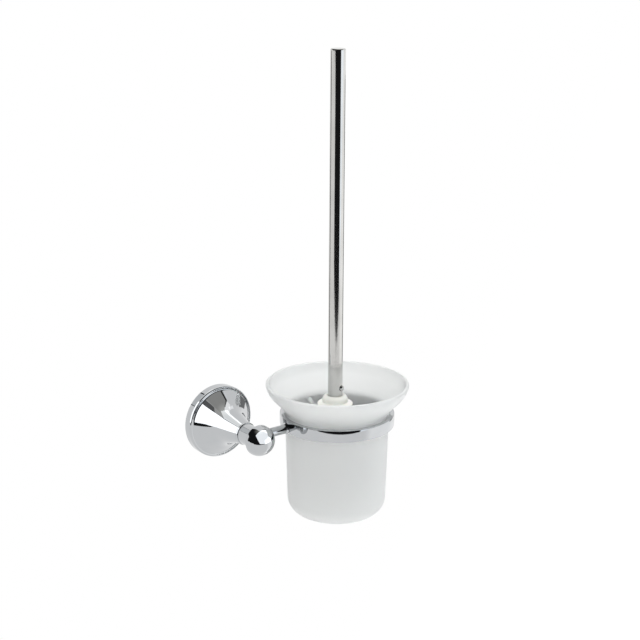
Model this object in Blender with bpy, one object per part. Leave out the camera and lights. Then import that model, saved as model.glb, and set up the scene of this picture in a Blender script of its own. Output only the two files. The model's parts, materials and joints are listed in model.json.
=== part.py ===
"""Wall-hung toilet brush holder: rose, arm and ring, frosted glass cup, brush.

Metres, +Z up. The origin is the centre of the wall bracket's back face. The wall is the
plane y = 0, the room is on the -Y side, and the arm runs along +X.
"""
import math

import bmesh
import bpy
from mathutils import Vector

# Fits
GAP = 0.0003                    # between neighbouring pieces
BOLT_R = 0.0020                 # M4 bolt that clamps rose, collar, boss, arm and cap
BOLT_HOLE_R = BOLT_R + GAP
EDGE = 0.0004                   # rounding of a turned edge
OVERCUT = 0.0020                # how far a cutter runs past what it cuts

# Wall rose and bracket; depths are measured out from the wall
ROSE_R = 0.0300
ROSE_RIM = 0.0075               # depth of the rim's side wall
ROSE_WALL = 0.0016
NECK_R = 0.0084
NECK_DEPTH = 0.0407             # where the trumpet ends
NECK_WALL = 0.0030
SHOULDER_R = 0.0272             # foot of the trumpet, just inside the rim
WAIST_R = 0.0152                # trumpet half way out
WAIST_DEPTH = 0.0190
TRUMPET_CURVE = 0.0260          # radius of the trumpet's hollow side
SHOULDER_FILLET = 0.0022
RIM_FILLET = 0.0015
BRACKET_R = 0.0276
BRACKET_T = 0.0036
GROOVE_DEPTH_Y = 0.0024         # groove round the bracket's edge, which the grub screw bites
SCREW_SPREAD = 0.0140           # wall screw holes, each side of the centre
SCREW_HOLE_R = 0.0025
GRUB_R = 0.00125
SCREW_SINK = 0.0018             # depth of the countersinks

# Boss, cap and arm
COLLAR_R = 0.0094
COLLAR_T = 0.0022
BOSS_R = 0.0085
CAP_R = 0.0125
CAP_LIP = 0.0011
CAP_DOME = 0.0124
CAP_THREAD = 0.0076             # depth of the hole for the bolt
ARM_DEPTH = 0.0525              # the arm's axis, out from the wall
ARM_R = 0.00375
ARM_TAIL = 0.0058               # how far the arm runs on past the bolt
CAP_DEPTH = ARM_DEPTH + 0.0073  # the cap's back

# Ring and glass cup
CUP_X = 0.0790
CUP_DEPTH = 0.0600              # the bowl's rim just clears the wall
RING_R = 0.0472
RING_BORE = 0.0431
RING_TOP = 0.0070
RING_BASE = -0.0030
RING_CROWN = 0.0002             # how far the band's outer face bulges
GLASS_T = 0.0030
GLASS_BASE = -0.0800
GLASS_FOOT_R = 0.0402
GLASS_FOOT_FILLET = 0.0136
GLASS_NECK_R = 0.0428
GLASS_NECK_Z = 0.0098           # where the bowl starts to flare
GLASS_NECK_FILLET = 0.0040
BOWL_R = 0.0585
BOWL_TOP = 0.0320
BOWL_LEAN = math.radians(14.0)  # the rim leans out this far from upright
BOWL_RIM = 0.0058               # length of the rim above its bend
BOWL_FILLET = 0.0200            # the bend between the flare and the rim

# Brush
BRUSH_LEAN = 0.0022             # the brush stands this far off the cup's axis
TUBE_R = 0.0060
TUBE_WALL = 0.0008
TUBE_BASE = 0.0203
TUBE_TOP = 0.3014
TUBE_CROWN = 0.0012             # rounding of the closed end
SPIGOT_R = 0.0049
SPIGOT_TOP = 0.0500
CORE_R = 0.0085
CORE_BASE = -0.0562
CORE_TOP = 0.0138
DOME_TOP = 0.0220
DOME_R = 0.0105
FLANGE_R = 0.0145
FLANGE_Z = 0.0152               # top of the flange
FLANGE_EDGE = 0.0006
DOME_FOOT = 0.0022              # height of the dome's foot above the flange
BRISTLE_R = 0.0345
BRISTLE_TOP = 0.0086            # six rows, 10.8 mm apart
BRISTLE_ROWS = 6
BRISTLE_EDGE = 0.0020
TIP_BASE = GLASS_BASE + GLASS_T + GAP
TIP_R = 0.0300

# Retaining button, measured out from the tube's axis
BUTTON_Z = 0.0284
BUTTON_ANGLE = math.radians(-70.0)
BUTTON_R = 0.0022
BUTTON_TIP = 0.0078
BUTTON_DOME = 0.0013
BUTTON_FOOT = 0.0026
BUTTON_FLANGE_R = 0.0028
BUTTON_FLANGE_T = 0.0013
BUTTON_BORE_R = 0.0016
BUTTON_BORE_END = 0.0060
BUTTON_TRAVEL = 0.0027          # takes the tip just inside the tube's bore
POCKET_R = BUTTON_FLANGE_R + GAP
POCKET_END = -0.0036
SPRING_R = 0.00115
SPRING_WIRE_R = 0.0002
SPRING_TURNS = 4

# Fineness of the round pieces; a hexagon's corners need a multiple of 12 steps
FINE = 40
MEDIUM = 24
SOFT = 18
ARC_STEP = math.radians(22.5)
AXIS = 1e-7                     # radii under this lie on the axis
ALONG_X = (0.0, math.radians(90.0), 0.0)
OUT_OF_WALL = (math.radians(90.0), 0.0, 0.0)


def clear_scene():
    for item in list(bpy.data.objects):
        bpy.data.objects.remove(item, do_unlink=True)


def finish(name, colour, roughness, metallic, transmission=0.0):
    """A Principled material."""
    material = bpy.data.materials.new(name)
    material.use_nodes = True
    shader = material.node_tree.nodes["Principled BSDF"]
    shader.inputs["Base Color"].default_value = (*colour, 1.0)
    shader.inputs["Roughness"].default_value = roughness
    shader.inputs["Metallic"].default_value = metallic
    shader.inputs["Transmission Weight"].default_value = transmission
    return material


def chrome():
    return finish("chrome_plate", (0.86, 0.87, 0.88), 0.04, 1.0)


def steel():
    return finish("stainless_steel", (0.66, 0.65, 0.62), 0.16, 1.0)


def zinc_steel():
    return finish("zinc_steel", (0.58, 0.59, 0.60), 0.35, 1.0)


def frosted_glass():
    return finish("frosted_glass", (0.93, 0.95, 0.94), 0.55, 0.0, 0.6)


def white_plastic():
    return finish("white_plastic", (0.88, 0.88, 0.84), 0.32, 0.0)


def bristle_nylon():
    return finish("bristle_nylon", (0.93, 0.94, 0.94), 0.5, 0.0)


def joint_frame(name, place, parent=None):
    """An empty that carries the pieces of one moving body."""
    frame = bpy.data.objects.new(name, None)
    bpy.context.collection.objects.link(frame)
    frame.parent = parent
    frame.location = place
    return frame


def rounded(corners):
    """The outline through (radius, height, fillet) corners, with each fillet as an arc."""
    outline = []
    for index, (radius, height, fillet) in enumerate(corners):
        here = Vector((radius, height))
        if fillet == 0.0 or index in (0, len(corners) - 1):
            outline.append((radius, height))
            continue
        back = (Vector(corners[index - 1][:2]) - here).normalized()
        ahead = (Vector(corners[index + 1][:2]) - here).normalized()
        half = back.angle(ahead) / 2.0
        centre = here + (back + ahead).normalized() * fillet / math.sin(half)
        start = here + back * fillet / math.tan(half) - centre
        sweep = start.angle_signed(here + ahead * fillet / math.tan(half) - centre)
        steps = max(1, round(abs(sweep) / ARC_STEP))
        for step in range(steps + 1):
            turn = -sweep * step / steps
            across = start.x * math.cos(turn) - start.y * math.sin(turn)
            up = start.x * math.sin(turn) + start.y * math.cos(turn)
            outline.append((centre.x + across, centre.y + up))
    return outline


def inset(corners, thickness):
    """The same corners moved a wall's thickness to the left of their path."""
    moved = []
    for index, (radius, height, fillet) in enumerate(corners):
        here = Vector((radius, height))
        sides = []
        if index > 0:
            sides.append((here - Vector(corners[index - 1][:2])).normalized())
        if index < len(corners) - 1:
            sides.append((Vector(corners[index + 1][:2]) - here).normalized())
        normals = [Vector((-side.y, side.x)) for side in sides]
        mean = sum(normals, Vector((0.0, 0.0))).normalized()
        here += mean * thickness / mean.dot(normals[0])
        turns_left = len(sides) == 2 and sides[0].cross(sides[1]) > 0.0
        change = -thickness if turns_left else thickness
        moved.append((max(here.x, 0.0), here.y, max(fillet + change, 0.0) if fillet else 0.0))
    return moved


def arc(centre, radius, start, end, steps):
    """Points on an arc about centre, with angles in degrees."""
    points = []
    for step in range(steps + 1):
        angle = math.radians(start + (end - start) * step / steps)
        points.append((centre[0] + radius[0] * math.cos(angle),
                       centre[1] + radius[1] * math.sin(angle)))
    return points


def hexagon(flat):
    """The radius of a hexagon at each angle, from half its width across flats."""
    def radius(angle):
        side = math.radians(60.0)
        return flat / math.cos((angle + side / 2.0) % side - side / 2.0)
    return radius


def add_mesh(name, bm, material, parent, place, turn):
    """Put a finished bmesh into the scene as a smooth-shaded object."""
    bmesh.ops.recalc_face_normals(bm, faces=bm.faces)
    mesh = bpy.data.meshes.new(name)
    bm.to_mesh(mesh)
    bm.free()
    mesh.shade_smooth()
    mesh.set_sharp_from_angle(angle=math.radians(35.0))
    if material:
        mesh.materials.append(material)
    piece = bpy.data.objects.new(name, mesh)
    bpy.context.collection.objects.link(piece)
    piece.parent = parent
    piece.location = place
    piece.rotation_euler = turn
    return piece


def turned(name, outline, steps, material, parent, place=(0, 0, 0), turn=(0, 0, 0)):
    """Turn an outline of (radius, height) points about the local Z axis.

    An outline with both ends on the axis is a solid, and any other is a closed ring.
    A radius may be a function of the angle, as on a hexagon.
    """
    bm = bmesh.new()
    loops = []
    for radius, height in outline:
        if not callable(radius) and radius < AXIS:
            loops.append([bm.verts.new((0.0, 0.0, height))])
            continue
        loop = []
        for step in range(steps):
            angle = 2.0 * math.pi * step / steps
            reach = radius(angle) if callable(radius) else radius
            loop.append(bm.verts.new((reach * math.cos(angle), reach * math.sin(angle), height)))
        loops.append(loop)
    on_axis = len(loops[0]) == 1
    following = loops[1:] if on_axis else loops[1:] + loops[:1]
    for near, far in zip(loops, following):
        for step in range(steps):
            after = (step + 1) % steps
            if len(near) == 1:
                bm.faces.new((near[0], far[after], far[step]))
            elif len(far) == 1:
                bm.faces.new((near[step], near[after], far[0]))
            else:
                bm.faces.new((near[step], near[after], far[after], far[step]))
    return add_mesh(name, bm, material, parent, place, turn)


def rod(radius, start, end):
    """The outline of a plain cylinder."""
    return [(0.0, start), (radius, start), (radius, end), (0.0, end)]


def cut(piece, cutter):
    """Take the cutter's shape out of the piece."""
    cutter.hide_render = True
    cutter.display_type = "WIRE"
    modifier = piece.modifiers.new(cutter.name, "BOOLEAN")
    modifier.operation = "DIFFERENCE"
    modifier.solver = "EXACT"
    modifier.object = cutter


def make_bracket(mount, material):
    """A round plate with two countersunk screw holes and a groove round its edge."""
    groove = 0.0009
    edge = 0.0003
    outline = [
        (0.0, 0.0), (BRACKET_R - edge, 0.0), (BRACKET_R, edge),
        (BRACKET_R, GROOVE_DEPTH_Y - groove), (BRACKET_R - groove, GROOVE_DEPTH_Y),
        (BRACKET_R, GROOVE_DEPTH_Y + groove), (BRACKET_R, BRACKET_T - edge / 2),
        (BRACKET_R - edge, BRACKET_T), (0.0, BRACKET_T),
    ]
    plate = turned("wall_bracket", outline, FINE, material, mount, turn=OUT_OF_WALL)
    mouth = SCREW_HOLE_R + SCREW_SINK + OVERCUT
    hole = [
        (0.0, -OVERCUT), (SCREW_HOLE_R, -OVERCUT), (SCREW_HOLE_R, BRACKET_T - SCREW_SINK),
        (mouth, BRACKET_T + OVERCUT), (0.0, BRACKET_T + OVERCUT),
    ]
    for side, name in ((-1.0, "left_screw_hole"), (1.0, "right_screw_hole")):
        place = (side * SCREW_SPREAD, 0.0, 0.0)
        cut(plate, turned(name, hole, MEDIUM, None, mount, place, OUT_OF_WALL))


def make_rose(mount, material):
    """A hollow trumpet, open at the wall, with a thick end wall at its neck."""
    outside = rounded([
        (BOLT_HOLE_R, NECK_DEPTH, 0.0), (NECK_R, NECK_DEPTH, EDGE),
        (WAIST_R, WAIST_DEPTH, TRUMPET_CURVE), (SHOULDER_R, ROSE_RIM, SHOULDER_FILLET),
        (ROSE_R, ROSE_RIM, RIM_FILLET), (ROSE_R, 0.0, 0.0),
    ])
    inside = [
        (BRACKET_R + GAP, 0.0), (BRACKET_R + GAP, BRACKET_T + GAP),
        (SHOULDER_R - 2 * ROSE_WALL, ROSE_RIM + ROSE_WALL / 2),
        (WAIST_R - 1.2 * ROSE_WALL, WAIST_DEPTH),
        (NECK_R - ROSE_WALL, NECK_DEPTH - NECK_WALL), (BOLT_HOLE_R, NECK_DEPTH - NECK_WALL),
    ]
    rose = turned("wall_rose", outside + inside, FINE, material, mount, turn=OUT_OF_WALL)
    hole = rod(GRUB_R + GAP, -ROSE_R - OVERCUT, -BRACKET_R)
    cut(rose, turned("grub_hole", hole, MEDIUM, None, mount, (0.0, -GROOVE_DEPTH_Y, 0.0)))


def make_rose_grub(mount, material):
    """The socket screw under the rim, whose point sits in the bracket's groove."""
    point = -BRACKET_R + GAP / 2
    head = -ROSE_R + GAP
    socket = hexagon(GRUB_R / 2)
    bottom = head + GRUB_R
    outline = [
        (0.0, point), (GRUB_R / 3, point), (GRUB_R, point - GRUB_R / 2), (GRUB_R, head),
        (socket, head), (socket, bottom), (0.0, bottom),
    ]
    turned("rose_grub_screw", outline, MEDIUM, material, mount, (0.0, -GROOVE_DEPTH_Y, 0.0))


def make_bolt(mount, material):
    """The bolt, with its washer, that clamps the whole neck from inside the rose."""
    seat = NECK_DEPTH - NECK_WALL - GAP
    washer_t = 0.0008
    washer_r = 0.0046
    washer = [
        (BOLT_HOLE_R, seat - washer_t), (washer_r, seat - washer_t),
        (washer_r, seat), (BOLT_HOLE_R, seat),
    ]
    turned("bolt_washer", washer, MEDIUM, material, mount, turn=OUT_OF_WALL)
    under = seat - washer_t - GAP
    head_t = 0.0028
    flats = hexagon(0.0035)
    end = CAP_DEPTH + 0.0070
    bolt = [
        (0.0, under - head_t), (flats, under - head_t), (flats, under), (BOLT_R, under),
        (BOLT_R, end - BOLT_R / 3), (BOLT_R * 2 / 3, end), (0.0, end),
    ]
    turned("through_bolt", bolt, MEDIUM, material, mount, turn=OUT_OF_WALL)


def make_neck_collar(mount, material):
    """The beaded washer between the trumpet and the boss."""
    start = NECK_DEPTH + GAP
    bulge = COLLAR_T / 2
    outline = [(BOLT_HOLE_R, start)]
    outline += arc((COLLAR_R - bulge, start + bulge), (bulge, bulge), -90.0, 90.0, 6)
    outline += [(BOLT_HOLE_R, start + COLLAR_T)]
    turned("neck_collar", outline, MEDIUM, material, mount, turn=OUT_OF_WALL)


def make_boss(mount, material):
    """The short cylinder that the arm enters from the side."""
    outline = rounded([
        (BOLT_HOLE_R, NECK_DEPTH + COLLAR_T + 2 * GAP, 0.0),
        (BOSS_R, NECK_DEPTH + COLLAR_T + 2 * GAP, EDGE),
        (BOSS_R, CAP_DEPTH - GAP, EDGE), (BOLT_HOLE_R, CAP_DEPTH - GAP, 0.0),
    ])
    boss = turned("arm_boss", outline, MEDIUM, material, mount, turn=OUT_OF_WALL)
    socket = rod(ARM_R + GAP, -ARM_TAIL - GAP, BOSS_R + OVERCUT)
    place = (0.0, -ARM_DEPTH, 0.0)
    cut(boss, turned("arm_socket", socket, MEDIUM, None, mount, place, ALONG_X))


def make_cap(mount, material):
    """The domed cap that screws onto the bolt's end."""
    lip = CAP_DEPTH + CAP_LIP
    tip = lip + CAP_DOME
    thread_end = CAP_DEPTH + CAP_THREAD
    outline = [(0.0, thread_end), (BOLT_HOLE_R, thread_end), (BOLT_HOLE_R, CAP_DEPTH)]
    outline += [(CAP_R - EDGE, CAP_DEPTH), (CAP_R, CAP_DEPTH + EDGE)]
    outline += arc((0.0, lip), (CAP_R, CAP_DOME), 0.0, 80.0, 8)
    outline += [(0.0, tip)]
    turned("end_cap", outline, MEDIUM, material, mount, turn=OUT_OF_WALL)


def make_arm(mount, material):
    """The arm, drilled for the bolt and coped to the ring that it is brazed to."""
    place = (0.0, -ARM_DEPTH, 0.0)
    reach = CUP_X - RING_BORE + OVERCUT
    outline = rounded([
        (0.0, -ARM_TAIL, 0.0), (ARM_R, -ARM_TAIL, EDGE), (ARM_R, reach, 0.0), (0.0, reach, 0.0),
    ])
    arm = turned("arm_rod", outline, MEDIUM, material, mount, place, ALONG_X)
    hole = rod(BOLT_HOLE_R, ARM_DEPTH - 2 * ARM_R, ARM_DEPTH + 2 * ARM_R)
    cut(arm, turned("bolt_hole", hole, MEDIUM, None, mount, turn=OUT_OF_WALL))
    cope = rod(RING_R + GAP, -3 * ARM_R, 3 * ARM_R)
    centre = (CUP_X, -CUP_DEPTH, 0.0)
    cut(arm, turned("arm_cope", cope, 2 * FINE, None, mount, centre))


def make_ring(mount, material):
    """The band that holds the cup: a plain bore and a gently rounded outer face."""
    half = (RING_TOP - RING_BASE) / 2
    middle = (RING_TOP + RING_BASE) / 2
    radius = (half ** 2 + RING_CROWN ** 2) / (2 * RING_CROWN)
    lean = math.degrees(math.asin((half - EDGE) / radius))
    flat = RING_R - RING_CROWN - EDGE
    outline = [(RING_BORE, RING_BASE), (flat, RING_BASE)]
    outline += arc((RING_R - radius, middle), (radius, radius), -lean, lean, 5)
    outline += [(flat, RING_TOP), (RING_BORE, RING_TOP)]
    turned("support_ring", outline, FINE, material, mount, (CUP_X, -CUP_DEPTH, 0.0))


def make_glass(cup, material):
    """A tapered cup with a wide bowl at its mouth, blown to an even wall."""
    half = GLASS_T / 2
    end = (BOWL_R - half + half * math.cos(BOWL_LEAN), BOWL_TOP - half - half * math.sin(BOWL_LEAN))
    bend = (end[0] - BOWL_RIM * math.sin(BOWL_LEAN), end[1] - BOWL_RIM * math.cos(BOWL_LEAN))
    outside = [
        (0.0, GLASS_BASE, 0.0), (GLASS_FOOT_R, GLASS_BASE, GLASS_FOOT_FILLET),
        (GLASS_NECK_R, GLASS_NECK_Z, GLASS_NECK_FILLET), (*bend, BOWL_FILLET), (*end, 0.0),
    ]
    lean = math.degrees(BOWL_LEAN)
    lip = arc((BOWL_R - half, BOWL_TOP - half), (half, half), -lean, 180.0 - lean, 4)
    inside = inset(outside, GLASS_T)
    outline = rounded(outside)[:-1] + lip + rounded(inside)[::-1][1:]
    turned("glass_cup", outline, FINE, material, cup)


def make_handle(brush, material):
    """The tube, closed and rounded at its top, with a hole for the button."""
    bore = TUBE_R - TUBE_WALL
    ceiling = TUBE_TOP - TUBE_CROWN
    outside = rounded([
        (bore, TUBE_BASE, 0.0), (TUBE_R, TUBE_BASE, TUBE_WALL / 4), (TUBE_R, TUBE_TOP, TUBE_CROWN),
        (0.0, TUBE_TOP, 0.0),
    ])
    outline = [(0.0, ceiling), (bore, ceiling)] + outside
    tube = turned("handle_tube", outline, MEDIUM, material, brush)
    hole = rod(BUTTON_R + GAP, SPIGOT_R - TUBE_WALL, BUTTON_TIP)
    cut(tube, turned("button_hole", hole, MEDIUM, None, brush, (0, 0, BUTTON_Z), button_turn()))


def button_turn():
    """The rotation that lays a piece's Z axis along the button's axis."""
    return (0.0, math.radians(90.0), BUTTON_ANGLE)


def make_core(brush, material):
    """The moulded head: spigot, stepped dome, flange and the core that holds the tufts."""
    socket_r = TUBE_R + GAP
    socket_z = TUBE_BASE - GAP
    dome_z = FLANGE_Z + DOME_FOOT
    crown_r = socket_r + EDGE
    chamfer = 2.5 * EDGE
    outline = [(0.0, CORE_BASE), (CORE_R - chamfer, CORE_BASE), (CORE_R, CORE_BASE + chamfer)]
    outline += [(CORE_R, CORE_TOP), (FLANGE_R - FLANGE_EDGE, CORE_TOP)]
    outline += arc((FLANGE_R - FLANGE_EDGE, FLANGE_Z - FLANGE_EDGE), (FLANGE_EDGE, FLANGE_EDGE),
                   -60.0, 60.0, 3)
    outline += [(DOME_R + FLANGE_EDGE, dome_z - 1.5 * FLANGE_EDGE)]
    outline += arc((crown_r, dome_z), (DOME_R - crown_r, DOME_TOP - dome_z), 0.0, 90.0, 6)
    outline += [(socket_r, DOME_TOP - EDGE / 2), (socket_r, socket_z), (SPIGOT_R, socket_z)]
    outline += [(SPIGOT_R, SPIGOT_TOP - chamfer), (SPIGOT_R - chamfer, SPIGOT_TOP), (0.0, SPIGOT_TOP)]
    core = turned("brush_core", outline, MEDIUM, material, brush)
    pocket = rod(POCKET_R, POCKET_END, SPIGOT_R + OVERCUT)
    cut(core, turned("button_pocket", pocket, MEDIUM, None, brush, (0, 0, BUTTON_Z), button_turn()))


def make_button(button, material):
    """A domed pin on a flange, bored from behind for its spring."""
    flange_end = BUTTON_FOOT + BUTTON_FLANGE_T
    shoulder = BUTTON_TIP - BUTTON_DOME
    outline = [(0.0, BUTTON_BORE_END), (BUTTON_BORE_R, BUTTON_BORE_END)]
    outline += [(BUTTON_BORE_R, BUTTON_FOOT), (BUTTON_FLANGE_R, BUTTON_FOOT)]
    outline += [(BUTTON_FLANGE_R, flange_end), (BUTTON_R, flange_end)]
    outline += arc((0.0, shoulder), (BUTTON_R, BUTTON_DOME), 0.0, 80.0, 5)
    outline += [(0.0, BUTTON_TIP)]
    turned("retaining_button", outline, MEDIUM, material, button, turn=button_turn())


def make_spring(brush, material):
    """The coil behind the button, drawn at the length it has with the button pressed in."""
    start = POCKET_END + SPRING_WIRE_R + GAP
    length = BUTTON_BORE_END - BUTTON_TRAVEL - GAP - SPRING_WIRE_R - start
    per_turn = 10
    sides = 5
    bm = bmesh.new()
    loops = []
    for step in range(SPRING_TURNS * per_turn + 1):
        angle = 2.0 * math.pi * step / per_turn
        height = start + length * step / (SPRING_TURNS * per_turn)
        loop = []
        for side in range(sides):
            around = 2.0 * math.pi * side / sides
            reach = SPRING_R + SPRING_WIRE_R * math.cos(around)
            lift = height + SPRING_WIRE_R * math.sin(around)
            loop.append(bm.verts.new((reach * math.cos(angle), reach * math.sin(angle), lift)))
        loops.append(loop)
    for near, far in zip(loops, loops[1:]):
        for side in range(sides):
            after = (side + 1) % sides
            bm.faces.new((near[side], near[after], far[after], far[side]))
    bm.faces.new(loops[0])
    bm.faces.new(loops[-1])
    add_mesh("button_spring", bm, material, brush, (0.0, 0.0, BUTTON_Z), button_turn())


def make_bristles(brush, material):
    """One soft ring for each row of tufts, and one soft dome for the tufts at the end."""
    inner = CORE_R + GAP
    pitch = (BRISTLE_TOP - CORE_BASE) / BRISTLE_ROWS
    for row in range(BRISTLE_ROWS):
        top = BRISTLE_TOP - row * pitch
        base = top - pitch + GAP
        outline = [
            (inner, base), (BRISTLE_R - BRISTLE_EDGE, base), (BRISTLE_R, base + BRISTLE_EDGE),
            (BRISTLE_R, top - BRISTLE_EDGE), (BRISTLE_R - BRISTLE_EDGE, top), (inner, top),
        ]
        turned(f"bristle_row_{row + 1}", outline, SOFT, material, brush)
    top = CORE_BASE - GAP
    depth = top - TIP_BASE
    tip = [(0.0, TIP_BASE), (TIP_R - depth, TIP_BASE)]
    tip += arc((TIP_R - depth, top), (depth, depth), -60.0, 0.0, 3)
    tip += [(0.0, top)]
    turned("bristle_tip", tip, SOFT, material, brush)


def main():
    clear_scene()
    bright = chrome()
    hidden = zinc_steel()
    stainless = steel()
    plastic = white_plastic()
    mount = joint_frame("wall_mount", (0.0, 0.0, 0.0))
    cup = joint_frame("cup", (CUP_X, -CUP_DEPTH, 0.0), mount)
    brush = joint_frame("brush", (-BRUSH_LEAN, 0.0, 0.0), cup)
    button = joint_frame("button", (0.0, 0.0, BUTTON_Z), brush)
    make_bracket(mount, hidden)
    make_rose(mount, bright)
    make_rose_grub(mount, hidden)
    make_bolt(mount, hidden)
    make_neck_collar(mount, bright)
    make_boss(mount, bright)
    make_cap(mount, bright)
    make_arm(mount, bright)
    make_ring(mount, bright)
    make_glass(cup, frosted_glass())
    make_handle(brush, stainless)
    make_core(brush, plastic)
    make_spring(brush, hidden)
    make_bristles(brush, bristle_nylon())
    make_button(button, stainless)


main()
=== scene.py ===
"""Finished looks for a wall-hung toilet brush holder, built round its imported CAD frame.

Metres, +Z up, in the frame's own coordinates: the wall is the plane y = 0, the room is on
the -Y side and the arm runs along +X.
"""
import json
import math
import random

import bmesh
import bpy
from mathutils import Matrix, Vector


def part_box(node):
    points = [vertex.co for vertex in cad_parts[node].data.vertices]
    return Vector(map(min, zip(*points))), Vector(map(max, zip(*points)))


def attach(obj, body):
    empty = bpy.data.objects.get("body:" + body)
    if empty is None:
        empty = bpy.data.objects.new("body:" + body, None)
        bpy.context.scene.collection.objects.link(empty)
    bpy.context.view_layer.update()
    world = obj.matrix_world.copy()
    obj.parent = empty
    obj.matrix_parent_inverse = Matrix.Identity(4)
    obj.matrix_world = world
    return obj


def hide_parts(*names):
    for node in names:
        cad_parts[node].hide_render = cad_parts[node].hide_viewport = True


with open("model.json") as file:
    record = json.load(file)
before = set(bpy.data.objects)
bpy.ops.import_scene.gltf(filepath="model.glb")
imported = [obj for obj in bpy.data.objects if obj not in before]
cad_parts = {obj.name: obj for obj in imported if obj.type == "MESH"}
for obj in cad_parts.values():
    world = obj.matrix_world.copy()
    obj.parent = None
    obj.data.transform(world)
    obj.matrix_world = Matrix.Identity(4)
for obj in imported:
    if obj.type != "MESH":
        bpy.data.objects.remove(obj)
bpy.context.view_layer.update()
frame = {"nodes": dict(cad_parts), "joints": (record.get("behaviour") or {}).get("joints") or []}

# Steps round a turned piece, and the longest step along an arc
FINE = 160
MEDIUM = 96
SMALL = 48
ARC_STEP = math.radians(6.0)
BRACE = 0.00012                 # extra loops this far from an edge keep its shading tight
ON_AXIS = 1e-7
SHARP = 40.0                    # degrees: a sharper edge than this isn't shaded smooth
CUT_SHARP = 30.0
SMOOTH = 180.0

# Wall fitting: what the frame's boxes don't say
GAP = 0.0003
EDGE = 0.0004
BOLT_HOLE_R = 0.0023
ROSE_NECK_R = 0.0084
TRUMPET_CURVE = 0.0260
WAIST_R = 0.0152
WAIST_DEPTH = 0.0190
SHOULDER_R = 0.0272
RIM_DEPTH = 0.0075
SHOULDER_FILLET = 0.0022
RIM_FILLET = 0.0015
ROSE_WALL = 0.0016
NECK_WALL = 0.0030
CAP_LIP = 0.0011
CAP_THREAD = 0.0076
RING_CROWN = 0.0003
RING_WALL = 0.0041
BRAZE_FILLET = 0.0011
BRAZE_LIFT = 0.00002            # keeps the braze just off the arm and the ring
BRAZE_AROUND = 72
BRAZE_ALONG = 7
HIDDEN_NODES = ("wall_bracket", "rose_grub_screw", "bolt_washer", "through_bolt", "button_spring")

# Glass
GLASS_T = 0.0030
FOOT_R = 0.0402
FOOT_FILLET = 0.0136
NECK_R = 0.0428
NECK_Z = 0.0098
NECK_FILLET = 0.0040
BOWL_LEAN = math.radians(14.0)  # the rim leans out this far from upright
BOWL_RIM = 0.0058               # length of the rim above its bend
BOWL_FILLET = 0.0200

# Brush
TUBE_WALL = 0.0008
TUBE_CROWN = 0.0012
SPIGOT_R = 0.0049
SPIGOT_TOP = 0.0500
CORE_R = 0.0085
CORE_TOP = 0.0138
FLANGE_Z = 0.0152
FLANGE_EDGE = 0.0006
DOME_R = 0.0105
DOME_FOOT = 0.0022
DOME_TOP = 0.0220
TUFTS_ROUND = 12                # tufts in a row
TUFT_HOLE_R = 0.0017
TUFT_SPREAD = 0.0046            # reach of a tuft's tip from its own axis
TUFT_SQUASH = 0.85              # a tuft's height over its width
TOP_ROW_SQUASH = 0.6
TOP_ROW_DROOP = 0.0030
TUFT_SEED = 7
FILAMENTS = 38
FILAMENT_R = 0.00021
FILAMENT_SIDES = 3
FILAMENT_STEPS = 5
SPIRAL_TURN = 2.399963          # radians, the golden angle
SPIRAL_JITTER = 0.2
TIP_WANDER = 0.0005
TIP_SHORTEST = 0.975
TIP_DOME = 0.0012               # outer filaments end this much short of the middle one
FAN_CURVE = 1.25
END_TUFTS = ((1, 0.0, 0.0), (6, 24.0, 0.0030), (12, 52.0, 0.0058))   # count, lean, ring radius
END_SPREAD = 0.0042
END_FILAMENTS = 26
END_SIDE_ROOM = 0.0010
END_TIP_ROOM = 0.0006
STRAY_SEED = 3
STRAY_FILAMENTS = 16
STRAY_HEADING = 132.0
STRAY_FAN = 0.10
STRAY_ROOT_Z = 0.0085
STRAY_RISE = 0.0085
STRAY_REACH = 0.0135
STRAY_STEPS = 7
STRAY_CURVE = 2.2

# Retaining button, measured out from the tube's axis
BUTTON_R = 0.0022
BUTTON_TIP = 0.0078
BUTTON_FOOT = 0.0026
BUTTON_FLANGE_R = 0.0028
BUTTON_FLANGE_T = 0.0013
BUTTON_DOME = 0.0013
BUTTON_BORE_R = 0.0016
BUTTON_BORE_END = 0.0060
POCKET_BACK = -0.0036

# Camera: metres, degrees and millimetres
CAMERA_PLACE = (-0.63324, -0.95371, 0.41921)
CAMERA_AZIMUTH = -37.83
CAMERA_ELEVATION = 16.31
CAMERA_ROLL = 0.33
LENS = 83.2
SENSOR = 36.0

# Studio: degrees round from the front, and metres
DARK_LEFT = -128.0
DARK_LEFT_LOW = -75.0
DARK_RIGHT = 8.0
DARK_RIGHT_HIGH = 60.0
TABLE_Z = -0.25
TABLE_HEADING = -28.0
TABLE_FRONT = 1.04
TABLE_BACK = 6.0
TABLE_HALF = 5.0
TABLE_EXTRA = 0.28              # extra glow on the right-hand side
LIGHT_AIM = (0.03, -0.04, 0.0)
WHITE = (1.0, 1.0, 1.0, 1.0)
DARK_ROOM = (0.012, 0.012, 0.013, 1.0)
DIM_CEILING = (0.24, 0.24, 0.22, 1.0)
BLUE_PANEL = (1.35, 1.43, 1.52, 1.0)

# Cards that the camera doesn't see: heading, distance, width, top, level
FLAGS = {
    "flag_left": (-153.0, 0.9, 0.26, 0.21, 0.10),
    "flag_right": (99.0, 0.9, 0.40, 0.17, 0.24),
}

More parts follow.
